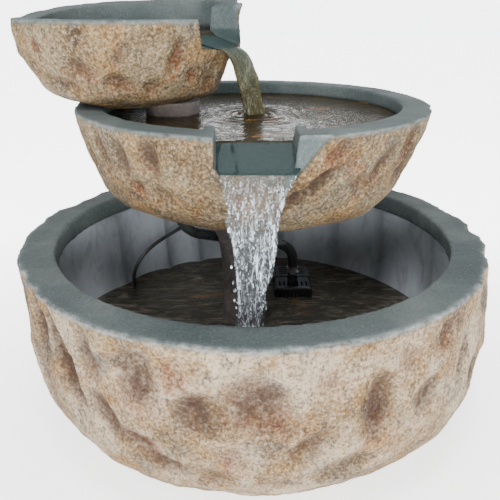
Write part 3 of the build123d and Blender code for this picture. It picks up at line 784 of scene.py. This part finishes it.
def stone(name, cream, ochre, brown, edge_highlight_strength):
    """Chiselled sandstone outside, dressed slate inside and on the rim, from the mesh's own masks.

    The last argument says how strongly the painted highlight along the rim's outer edge shows.
    """
    n = Nodes(name)
    patches = n.noise(14, 5, 0.62, warp=0.4)
    pale = tuple(min(1, c * 1.25) for c in cream)
    tone = n.ramp(patches, [(0.30, brown), (0.42, ochre), (0.54, cream), (0.72, pale)])
    tone = n.mix(n.math("MULTIPLY", n.kept("ridge"), 0.5), tone, (*pale, 1))
    ochre_patch = n.spread(n.noise(24, 4, 0.65), 0.50, 0.62, 0, 0.7)
    tone = n.mix(ochre_patch, tone, (0.29, 0.185, 0.075, 1))
    grey_patch = n.spread(n.noise(19, 4, 0.65, warp=0.5), 0.53, 0.64, 0, 0.6)
    tone = n.mix(grey_patch, tone, (0.120, 0.112, 0.098, 1))
    broken = n.noise(70, 4, 0.65)
    tint = n.math("MULTIPLY", n.kept("rust"), n.spread(broken, 0.36, 0.58))
    tone = n.mix(n.math("MULTIPLY", tint, 0.85), tone, (0.28, 0.098, 0.026, 1))
    shade = n.math("MULTIPLY", n.spread(n.kept("hollow"), 0.15, 1.0), n.spread(broken, 0.30, 0.55, 0.45, 1))
    tone = n.mix(n.math("MULTIPLY", shade, 0.88), tone, (0.075, 0.045, 0.036, 1))
    streak = n.noise(150, 4, 0.7, stretch=(1, 1, 0.5), warp=0.8)
    tone = n.mix(n.spread(streak, 0.52, 0.66, 0, 0.55), tone, (0.095, 0.078, 0.062, 1))
    mottle = n.noise(300, 5, 0.75)
    open_share = n.math("SUBTRACT", 1.0, n.math("MULTIPLY", shade, 0.8))
    light = n.math("MULTIPLY", n.spread(mottle, 0.49, 0.70, 0, 0.75), open_share)
    tone = n.mix(light, tone, (0.50, 0.45, 0.37, 1))
    tone = n.mix(n.spread(mottle, 0.49, 0.32, 0, 0.78), tone, (0.068, 0.048, 0.033, 1))
    tone = n.mix(0.72, tone, tone, "MULTIPLY")

    cloud = n.noise(9, 4, 0.6)
    slates = [(0.32, (0.036, 0.047, 0.047)), (0.52, (0.055, 0.069, 0.068)), (0.72, (0.088, 0.102, 0.100))]
    slate = n.ramp(cloud, slates)
    dust = n.noise(330, 3, 0.7)
    slate = n.mix(n.spread(dust, 0.52, 0.75, 0, 0.4), slate, (0.13, 0.15, 0.145, 1))
    slate = n.mix(n.spread(dust, 0.45, 0.30, 0, 0.4), slate, (0.022, 0.028, 0.028, 1))
    smear = n.noise(26, 5, 0.7, stretch=(1, 1, 0.5), warp=1.0)
    # The basin's inner wall: slate painted several times lighter than the rim's, as painted light where the
    # middle bowl shades it, with painted highlights and shade across its folds.
    wall = n.mix(n.spread(n.kept("wall"), 0.15, 0.85), (0.17, 0.185, 0.20, 1), (0.37, 0.40, 0.44, 1))
    wall = n.mix(n.spread(smear, 0.52, 0.74, 0, 0.4), wall, (0.55, 0.56, 0.59, 1))
    wall = n.mix(n.spread(smear, 0.48, 0.30, 0, 0.45), wall, (0.10, 0.095, 0.09, 1))
    slate = n.mix(n.math("MULTIPLY", n.spread(n.kept("wall"), 0.02, 0.2), 0.9), slate, wall)
    slate = n.mix(n.math("MULTIPLY", n.kept("wet"), 0.85), slate, (0.016, 0.027, 0.027, 1))

    rock = n.kept("rock")
    color = n.mix(rock, slate, tone)
    # A painted highlight: a light grey strip along the rim's outer edge, broken up by noise.
    painted_edge_highlight = n.math("MULTIPLY", n.kept("edge"), n.spread(n.noise(85, 4, 0.7), 0.36, 0.66))
    color = n.mix(n.math("MULTIPLY", painted_edge_highlight, edge_highlight_strength), color, (0.33, 0.35, 0.345, 1))
    rough = n.math("SUBTRACT", n.spread(rock, 0, 1, 0.58, 0.88), n.math("MULTIPLY", n.kept("wet"), 0.45))

    grain = n.noise(420, 4, 0.65)
    pits = n.cells(170)
    coarse = n.noise(110, 4, 0.6)
    relief = n.bump(n.math("MULTIPLY", coarse, rock), 0.0032)
    relief = n.bump(n.math("MULTIPLY", pits, rock), 0.0012, under=relief)
    relief = n.bump(grain, 0.0007, under=relief)
    return n.finish(color, rough, relief, Specular_IOR_Level=0.08)


BASIN_STONE = stone(
    "basin_stone",
    cream=(0.385, 0.325, 0.25),
    ochre=(0.28, 0.205, 0.12),
    brown=(0.15, 0.10, 0.064),
    edge_highlight_strength=0.6,
)
UPPER_STONE = stone(
    "upper_stone",
    cream=(0.252, 0.204, 0.130),
    ochre=(0.182, 0.128, 0.068),
    brown=(0.094, 0.061, 0.035),
    edge_highlight_strength=0.22,
)


def plain_stone():
    n = Nodes("pedestal_stone")
    cloud = n.noise(22, 5, 0.65)
    greys = [(0.3, (0.035, 0.03, 0.03)), (0.5, (0.07, 0.06, 0.056)), (0.7, (0.13, 0.105, 0.09))]
    color = n.ramp(cloud, greys)
    color = n.mix(n.spread(n.noise(260, 3, 0.7), 0.5, 0.75, 0, 0.4), color, (0.24, 0.20, 0.17, 1))
    relief = n.bump(n.noise(130, 5, 0.65), 0.004)
    relief = n.bump(n.noise(500, 3, 0.6), 0.0008, under=relief)
    return n.finish(color, n.spread(cloud, 0.3, 0.7, 0.5, 0.75), relief)


def plastic(name, color, rough, grain=900, depth=0.0001, coat=0.0):
    n = Nodes(name)
    wear = n.noise(45, 4, 0.6)
    lighter = tuple(c * 1.6 + 0.01 for c in color)
    tone = n.mix(n.spread(wear, 0.45, 0.75, 0, 0.7), (*color, 1), (*lighter, 1))
    relief = n.bump(n.noise(grain, 2, 0.6), depth)
    return n.finish(tone, n.spread(wear, 0.3, 0.7, rough * 0.8, rough * 1.25), relief, Coat_Weight=coat)


def metal(name, color, rough, stretch):
    n = Nodes(name)
    brushed = n.noise(260, 4, 0.7, stretch=stretch)
    tone = n.mix(n.spread(brushed, 0.3, 0.7), (*color, 1), (*(c * 0.7 for c in color), 1))
    relief = n.bump(brushed, 0.00008)
    return n.finish(tone, n.spread(brushed, 0.3, 0.7, rough * 0.7, rough * 1.3), relief, Metallic=1.0)


WATER_IOR = 1.33


def water(name, deep, light, painted_glint, tint, gloss):
    """Water in a dark bowl: brown depth, painted streaks of reflected light and painted orange glints, and
    ripples finer than the mesh.
    """
    n = Nodes(name)
    streaks = n.noise(26, 4, 0.7, stretch=(1, 3.6, 1), warp=1.2)
    color = n.mix(n.spread(streaks, 0.48, 0.72), (*deep, 1), (*light, 1))
    # Painted orange glints, reflections of the rock, laid over the painted streaks of light.
    lit = n.noise(9, 4, 0.7, stretch=(1, 1.8, 1), warp=0.8)
    color = n.mix(n.spread(lit, 0.58, 0.72, 0, 0.6), color, (*painted_glint, 1))
    fine = n.noise(75, 3, 0.6, stretch=(1, 2.6, 1), warp=1.0)
    relief = n.bump(fine, 0.0022)
    shine = {"IOR": WATER_IOR, "Specular_Tint": (*tint, 1), "Specular_IOR_Level": gloss}
    return n.finish(color, 0.07, relief, Alpha=0.94, **shine)


def falling_water(name, body, foam_and_glint_color, cover, tint):
    """A falling sheet: clear between bright broken threads of white foam and painted glints.

    cover is how much the clear film hides on the chute, and in the air.
    """
    n = Nodes(name)
    threads = n.noise(130, 4, 0.75, stretch=(1, 1, 0.14), warp=0.6)
    beads = n.noise(280, 3, 0.7, stretch=(1, 1, 0.45), warp=1.2)
    bright = n.math("MAXIMUM", n.spread(threads, 0.54, 0.62), n.spread(beads, 0.56, 0.64))
    bright = n.math("MULTIPLY", bright, n.spread(n.kept("foam_and_glints"), 0.1, 0.9))
    falling = n.spread(n.kept("foam_and_glints"), 0.05, 0.4)
    color = n.mix(falling, (0.018, 0.032, 0.032, 1), (*body, 1))
    # Threads and beads in near-white: partly white foam, partly painted glints of light.
    color = n.mix(bright, color, (*foam_and_glint_color, 1))
    relief = n.bump(n.noise(60, 3, 0.5), 0.0006)
    relief = n.bump(n.math("MULTIPLY", threads, n.kept("foam_and_glints")), 0.006, under=relief)
    relief = n.bump(n.math("MULTIPLY", beads, n.kept("foam_and_glints")), 0.002, under=relief)
    film = n.spread(falling, 0, 1, *cover)
    n.join(n.math("MAXIMUM", film, n.math("MULTIPLY", bright, 0.96)), n.surface.inputs["Alpha"])
    shine = {"IOR": WATER_IOR, "Specular_Tint": (*tint, 1), "Specular_IOR_Level": 0.2}
    return n.finish(color, 0.08, relief, **shine)


def floor_material():
    n = Nodes("pale_floor")
    tone = n.mix(n.noise(3, 2), (0.86, 0.86, 0.86, 1), (0.89, 0.89, 0.885, 1))
    # The floor glows less near the fountain than far off: a painted soft shadow around it.
    near = n.tree.nodes.new("ShaderNodeTexGradient")
    near.gradient_type = "SPHERICAL"
    n.join(n.place, near.inputs["Vector"])
    n.join((1, 1, 1, 1), n.surface.inputs["Emission Color"])
    n.join(n.spread(near.outputs["Fac"], 0.1, 0.68, 4.5, 1.9), n.surface.inputs["Emission Strength"])
    return n.finish(tone, 0.8)


MATERIALS = {
    "cast_stone": plain_stone(),
    "black_plastic": plastic("black_plastic", (0.02, 0.021, 0.022), 0.42),
    "pump_plastic": plastic("pump_plastic", (0.009, 0.009, 0.011), 0.22, coat=0.5),
    "grey_plastic": plastic("grey_plastic", (0.16, 0.17, 0.18), 0.4),
    "black_rubber": plastic("black_rubber", (0.016, 0.016, 0.017), 0.62, 600, 0.0003),
    "hose_plastic": plastic("hose_plastic", (0.016, 0.02, 0.018), 0.3),
    "steel": metal("stainless_steel", (0.62, 0.62, 0.63), 0.32, (1, 1, 12)),
    "magnet": plastic("magnet_ferrite", (0.05, 0.05, 0.055), 0.5),
    "cable": plastic("cable_jacket", (0.012, 0.012, 0.014), 0.38),
    "plug_plastic": plastic("plug_plastic", (0.014, 0.014, 0.015), 0.45, 700, 0.0002),
    "pin_metal": metal("nickel_pins", (0.70, 0.67, 0.60), 0.25, (12, 1, 1)),
}


def dress(piece, material):
    piece.data.materials.clear()
    piece.data.materials.append(material)


def dress_cad_nodes():
    slots = {part["node"]: part["material_slot"] for part in frame["record"]["subparts"]}
    for node in frame["nodes"]:
        piece = bpy.data.objects[node]
        for slot in piece.material_slots:
            slot.material = MATERIALS[slots[node]]


# ---- Water -------------------------------------------------------------------------------------


def pool(name, centre, z, radius, depth, falls, seed, spout=None, beside=0):
    """A bowl's water: a rippled face over a closed shallow body. falls lists (x, y, height, reach).

    Over a spout's chute, and as far beside it as beside says, the face drops below the chute.
    """
    rings, spokes = 70, 220
    points, faces = [], []
    for ring in range(1, rings + 1):
        r = radius * (ring / rings) ** 0.9
        points += [polar(r, 360 * k / spokes, z, centre) for k in range(spokes)]
    top = np.array(points)
    wave = 0.5 * roughness_field(top * [1, 1.6, 1], 30, seed) + 0.22 * roughness_field(top, 11, seed + 1)
    for x, y, height, reach in falls:
        away = np.hypot(top[:, 0] - x, top[:, 1] - y)
        wave += height * np.cos(away * 2 * math.pi / 13) * np.exp(-away / reach)
    edge = np.hypot(top[:, 0] - centre[0], top[:, 1] - centre[1]) / radius
    top[:, 2] += wave * smooth_step(1.0, 0.94, edge)
    if spout:
        along, left = spout_frame(top, centre, spout)
        chute = spout["inner_z"] - chute_slope(spout) * (along - spout["inner"]) - 3
        drop = np.clip(top[:, 2] - chute, 0, None) * (np.abs(left) < spout["half"] + 2 + beside)
        top[:, 2] -= drop * smooth_step(spout["inner"], spout["inner"] + 10, along)
    points = [tuple(p) for p in top]
    middle = len(points)
    points.append((*centre, z))
    faces += [(middle, k, (k + 1) % spokes) for k in range(spokes)]
    for ring in range(rings - 1):
        a, b = ring * spokes, (ring + 1) * spokes
        faces += [(a + k, b + k, b + (k + 1) % spokes, a + (k + 1) % spokes) for k in range(spokes)]
    low = len(points)
    points += [(p[0], p[1], z - depth) for p in points[(rings - 1) * spokes : rings * spokes]]
    outer = (rings - 1) * spokes
    faces += [(outer + k, low + k, low + (k + 1) % spokes, outer + (k + 1) % spokes) for k in range(spokes)]
    faces.append(tuple(low + k for k in reversed(range(spokes))))
    piece = mesh_piece(name, points, faces)
    shade_smooth(piece)
    return piece


def across_sheet(x, y, u, v, turn):
    """The place u along and v through a sheet that is turned by that angle in radians."""
    return x + u * math.cos(turn) - v * math.sin(turn), y + u * math.sin(turn) + v * math.cos(turn)


def stream(name, path, seed, lip, froth, rough):
    """Falling water. The path lists (x, y, z, half width, half thickness, turn of the sheet).

    Down to the path's point number lip it runs over the chute as a clear film. Then its white foam and
    painted glints start and grow as froth says.
    """
    rounds, per_run, threads = 72, 14, 5
    line = rounded_line(path, per_run)
    start = lip * per_run
    points, foam_and_glints = [], []
    for row, (x, y, z, wide, thick, turn) in enumerate(line):
        share = row / (len(line) - 1)
        turn = math.radians(turn)
        for k in range(rounds):
            a = 2 * math.pi * k / rounds
            across, through = math.cos(a), math.sin(a)
            strand = noise.noise(Vector((across * threads + seed, through * 1.5, z * 0.012)))
            ripple = noise.noise(Vector((across * 9 + seed, through * 4, z * 0.05)))
            swell = 1 + rough * (1 + 2.2 * share) * (strand * 2.2 + ripple)
            u = across * wide * swell
            v = through * thick * (1 + (0.5 + share) * (strand + 0.6 * ripple))
            points.append((*across_sheet(x, y, u, v, turn), z))
            fallen = (row - start) / (len(line) - 1 - start)
            side = 0.72 + 0.4 * abs(across) ** 3
            foam_and_glints.append(min(1, (froth[0] + froth[1] * fallen) * side) if fallen > 0 else 0.05)
    faces = []
    for row in range(len(line) - 1):
        a, b = row * rounds, (row + 1) * rounds
        faces += [(a + k, a + (k + 1) % rounds, b + (k + 1) % rounds, b + k) for k in range(rounds)]
    faces.append(tuple(reversed(range(rounds))))
    last = (len(line) - 1) * rounds
    faces.append(tuple(last + k for k in range(rounds)))
    piece = mesh_piece(name, points, faces)
    store(piece.data, "foam_and_glints", np.array(foam_and_glints))
    shade_smooth(piece)
    return piece


def droplets(name, path, count, seed, size, spread):
    """Loose drops thrown off a stream, more of them lower down, as one mesh."""
    draw = random.Random(seed)
    line = rounded_line(path, 20)
    shape = bmesh.new()
    for _ in range(count):
        share = draw.random() ** 0.7
        x, y, z, wide, thick, turn = line[int(share * (len(line) - 1))]
        turn = math.radians(turn)
        u = draw.uniform(-1, 1) * (wide + spread * share)
        v = draw.uniform(-1, 1) * (thick + spread * share)
        radius = size * draw.uniform(0.45, 1.15)
        made = bmesh.ops.create_icosphere(shape, subdivisions=2, radius=radius * MM)
        place = Vector((*across_sheet(x, y, u, v, turn), z))
        tall = draw.uniform(1.0, 2.2)
        for vertex in made["verts"]:
            vertex.co.z *= tall
            vertex.co += place * MM
    mesh = bpy.data.meshes.new(name)
    shape.to_mesh(mesh)
    shape.free()
    piece = link(name, mesh)
    shade_smooth(piece)
    return piece


LOWER_FALL = [
    (3, -107, 404.2, 40, 1.2, 0),
    (3, -118, 401.2, 40, 1.4, 0),
    (3.5, -140, 394.0, 39.5, 1.4, 0),
    (3.5, -158, 388.2, 39, 1.5, 0),
    (3.5, -169, 384.3, 35, 1.8, 0),
    (3, -176, 373, 30, 2.4, 0),
    (2, -180, 356, 27, 3.2, 0),
    (1, -183, 338, 25, 4.4, 0),
    (0, -185, 316, 22, 5.5, 0),
    (-1, -186.5, 292, 18, 6.0, 0),
    (-2, -188, 264, 14, 6, 0),
    (-3, -189, 232, 10.5, 5.5, 0),
    (-3, -190, 190, 8, 5, 0),
    (-2, -191, 150, 7, 5, 0),
    (-2, -191, 112, 8.5, 7.5, 0),
    (-2, -191, 106, 10, 9, 0),
]
UPPER_FALL = [
    (-70, 34, 502.5, 36, 1.4, 69),
    (-52, 27.5, 496, 36, 1.5, 69),
    (-34, 21, 489.5, 31, 1.7, 69),
    (-25, 20, 486.5, 24, 2.2, 66),
    (-18, 22, 480, 21, 3.2, 58),
    (-12, 27, 468, 17, 4.2, 48),
    (-7, 33, 452, 14.5, 5.0, 38),
    (-3, 39, 434, 13, 5.6, 28),
    (0, 44, 416, 12, 6, 20),
    (1.5, 46, 405, 12.5, 7, 15),
    (1.5, 46, 399, 14, 8, 15),
]


def make_water():
    lower_landing = (*LOWER_FALL[-1][:2], 2.6, 45)
    upper_landing = (*UPPER_FALL[-1][:2], 2.4, 40)
    pump_eddy = (60, 120, 0.5, 60)
    spring = (*RISER, 1.6, 30)
    basin_pool = pool(
        "basin_water", (0, 0), BASIN_WATER_Z, radius=266, depth=3, falls=[lower_landing, pump_eddy], seed=41
    )
    middle_pool = pool(
        "middle_water",
        MIDDLE_CENTRE,
        MIDDLE_WATER_Z,
        radius=189,
        depth=20,
        falls=[upper_landing],
        seed=47,
        spout=MIDDLE_SPOUT,
    )
    top_pool = pool(
        "top_water",
        TOP_CENTRE,
        TOP_WATER_Z,
        radius=116,
        depth=20,
        falls=[spring],
        seed=53,
        spout=TOP_SPOUT,
        beside=22,
    )
    lower = stream("lower_fall", LOWER_FALL, seed=3, lip=4, froth=(0.5, 1.2), rough=0.09)
    upper = stream("upper_fall", UPPER_FALL, seed=9, lip=2, froth=(0.14, 0.5), rough=0.06)
    lower_drops = droplets("lower_drops", LOWER_FALL[5:], count=240, seed=17, size=1.7, spread=7)
    upper_drops = droplets("upper_drops", UPPER_FALL[4:], count=40, seed=19, size=1.2, spread=3)
    # One water in two copies: the basin's painted lighter, standing in for light that the middle bowl's
    # shadow keeps from it, and the two upper bowls' painted darker against the strong light from above.
    still_painted_light = water(
        "bowl_water_painted_light",
        deep=(0.046, 0.043, 0.035),
        light=(0.170, 0.155, 0.122),
        painted_glint=(0.24, 0.115, 0.048),
        tint=(0.34, 0.28, 0.20),
        gloss=0.45,
    )
    upper_still_painted_shade = water(
        "upper_water_painted_shade",
        deep=(0.016, 0.012, 0.005),
        light=(0.050, 0.036, 0.015),
        painted_glint=(0.34, 0.15, 0.04),
        tint=(0.20, 0.155, 0.09),
        gloss=0.22,
    )
    clear = falling_water(
        "clear_fall",
        body=(0.13, 0.155, 0.155),
        foam_and_glint_color=(0.80, 0.87, 0.97),
        cover=(0.80, 0.14),
        tint=(0.22, 0.26, 0.26),
    )
    olive = falling_water(
        "olive_fall",
        body=(0.058, 0.052, 0.026),
        foam_and_glint_color=(0.30, 0.31, 0.25),
        cover=(0.97, 0.94),
        tint=(0.30, 0.29, 0.18),
    )
    for piece, body, material in (
        (basin_pool, "base", still_painted_light),
        (middle_pool, "middle_tier", upper_still_painted_shade),
        (top_pool, "top_tier", upper_still_painted_shade),
        (lower, "middle_tier", clear),
        (upper, "top_tier", olive),
        (lower_drops, "middle_tier", clear),
        (upper_drops, "top_tier", olive),
    ):
        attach(piece, body)
        dress(piece, material)
    for piece in (lower_drops, upper_drops):
        store(piece.data, "foam_and_glints", np.ones(len(piece.data.vertices)))


# ---- Assembly ----------------------------------------------------------------------------------
dress(make_basin(), BASIN_STONE)
dress(make_middle_bowl(), UPPER_STONE)
dress(make_top_bowl(), UPPER_STONE)
dress_cad_nodes()
for cable in cords:
    dress(cable, MATERIALS["cable"])
make_water()


# ---- Stage -------------------------------------------------------------------------------------
def area_light(name, place, target, size, power):
    data = bpy.data.lights.new(name, "AREA")
    data.size = size
    data.energy = power
    lamp = bpy.data.objects.new(name, data)
    lamp.location = place
    lamp.rotation_euler = (Vector(target) - Vector(place)).to_track_quat("-Z", "Y").to_euler()
    bpy.context.scene.collection.objects.link(lamp)


def make_stage():
    far = 9000
    corners = [(-far, -far, 0), (far, -far, 0), (far, far, 0), (-far, far, 0)]
    floor = mesh_piece("floor", corners, [(0, 1, 2, 3)])
    dress(floor, floor_material())
    world = bpy.data.worlds.new("studio")
    bpy.context.scene.world = world
    world.use_nodes = True
    # A white backdrop low down all round, and a soft sky above it.
    tree = world.node_tree
    tree.nodes["Background"].inputs["Color"].default_value = (0.96, 0.98, 1.0, 1)
    toward = tree.nodes.new("ShaderNodeSeparateXYZ")
    tree.links.new(tree.nodes.new("ShaderNodeTexCoord").outputs["Generated"], toward.inputs[0])
    fade = tree.nodes.new("ShaderNodeMapRange")
    tree.links.new(toward.outputs["Z"], fade.inputs["Value"])
    set_range(fade, 0.10, 0.26, 5.2, 0.75)
    tree.links.new(fade.outputs["Result"], tree.nodes["Background"].inputs["Strength"])
    area_light("key", (-1.0, -1.7, 1.9), (0, 0, 0.25), size=1.2, power=42)
    area_light("fill", (1.9, -1.2, 1.2), (0, 0, 0.25), size=1.6, power=11)
    area_light("top", (0.2, 0.9, 2.2), (0, 0, 0.3), size=1.4, power=16)
    area_light("front", (0.3, -1.7, 0.47), (0, 0.2, 0.16), size=0.5, power=34)
    area_light("rim", (0, -0.8, 1.5), (0, -0.27, 0.26), size=0.3, power=16)


make_stage()
